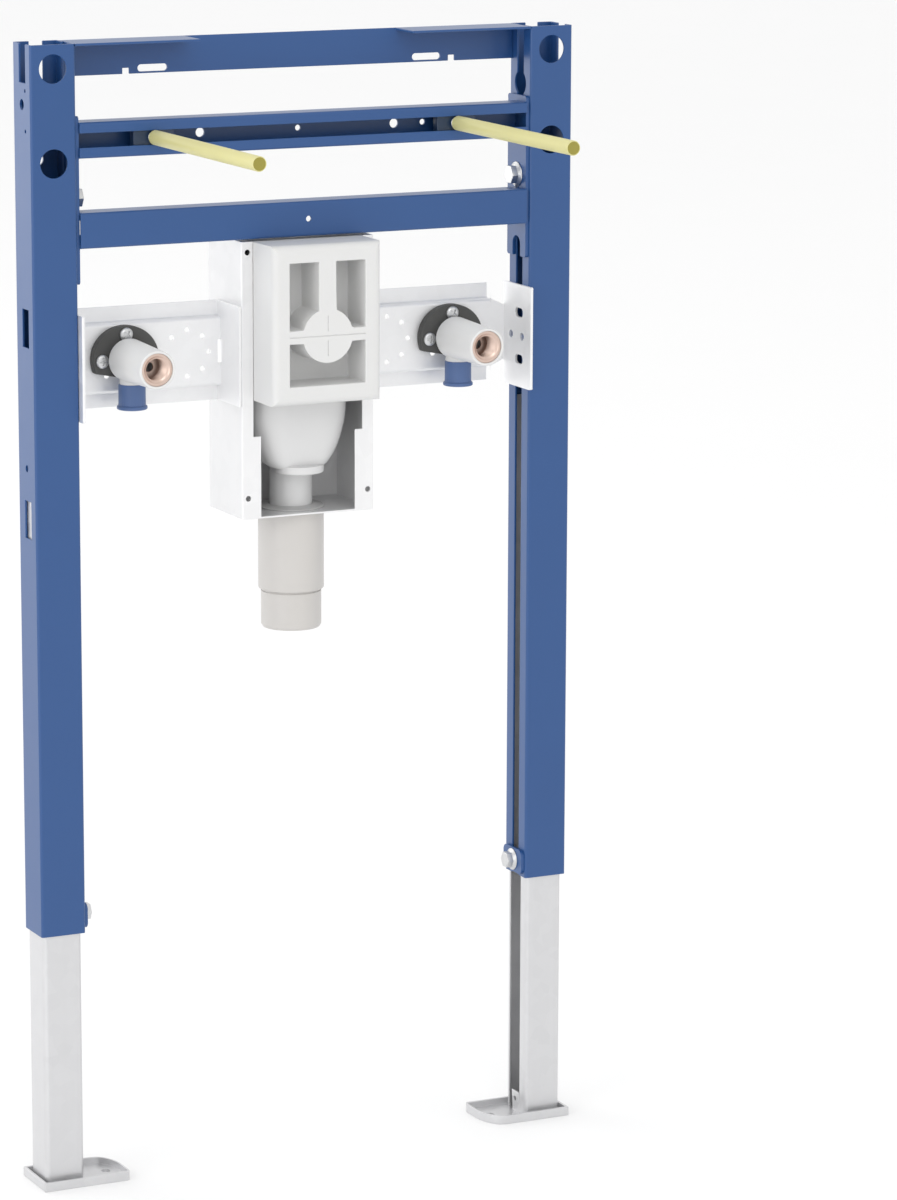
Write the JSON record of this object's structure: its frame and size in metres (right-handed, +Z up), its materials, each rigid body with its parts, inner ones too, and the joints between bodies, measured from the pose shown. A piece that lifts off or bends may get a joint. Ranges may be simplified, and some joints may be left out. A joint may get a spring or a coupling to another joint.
{
  "type": "basin installation frame",
  "caption": "In-wall washbasin frame: coated sheet-steel posts and rails on telescopic legs, with a concealed trap box, tap connections and sleeved basin fixing rods.",
  "frame": {"origin": "on the floor, midway between the two floor bolts", "axes": "+X to the viewer's right, +Y into the wall, +Z up"},
  "size_m": [0.5052, 0.289, 0.98],
  "materials": {
    "blue_coat": "satin powder coat",
    "zinc_sheet": "galvanised",
    "zinc_fastener": "zinc plated",
    "rod_steel": "zinc plated",
    "yellow_sleeve": "soft tube",
    "white_plastic": "moulded",
    "grey_plastic": "extruded",
    "gasket_rubber": "matt",
    "brass_insert": "machined",
    "blue_cap": "moulded"
  },
  "bodies": {
    "stand": {"left_foot_plate": "zinc_sheet", "left_leg": "zinc_sheet", "right_foot_plate": "zinc_sheet", "right_leg": "zinc_sheet"},
    "frame": {"fixing_rail": "blue_coat", "left_clamp_plate": "blue_coat", "left_clamp_screw": "zinc_fastener", "left_plate_bolt": "zinc_fastener", "left_post": "blue_coat", "left_side_plate": "blue_coat", "left_tap_body": "white_plastic", "left_tap_cap": "blue_cap", "left_tap_gasket": "gasket_rubber", "left_tap_insert": "brass_insert", "left_tap_screws": "zinc_fastener", "left_traverse": "zinc_sheet", "lower_rail": "blue_coat", "outlet_pipe": "grey_plastic", "outlet_sleeve": "grey_plastic", "right_clamp_plate": "blue_coat", "right_clamp_screw": "zinc_fastener", "right_plate_bolt": "zinc_fastener", "right_post": "blue_coat", "right_side_plate": "blue_coat", "right_tap_body": "white_plastic", "right_tap_cap": "blue_cap", "right_tap_gasket": "gasket_rubber", "right_tap_insert": "brass_insert", "right_tap_screws": "zinc_fastener", "right_traverse": "zinc_sheet", "top_rail": "blue_coat", "trap_body": "white_plastic", "trap_box": "zinc_sheet", "trap_cover": "white_plastic", "trap_seal": "gasket_rubber"},
    "left_fixing": {"left_rod": "rod_steel", "left_rod_sleeve": "yellow_sleeve", "left_slide_nut": "zinc_fastener"},
    "right_fixing": {"right_rod": "rod_steel", "right_rod_sleeve": "yellow_sleeve", "right_slide_nut": "zinc_fastener"}
  },
  "joints": [
    {"name": "height_slide", "type": "slide", "parent": "stand", "child": "frame", "axis": [0, 0, 1], "range_m": [-0.16, 0]},
    {"name": "left_rod_slide", "type": "slide", "parent": "frame", "child": "left_fixing", "axis": [1, 0, 0], "range_m": [-0.045, 0.115]},
    {"name": "right_rod_slide", "type": "slide", "parent": "frame", "child": "right_fixing", "axis": [-1, 0, 0], "range_m": [-0.045, 0.115]}
  ]
}
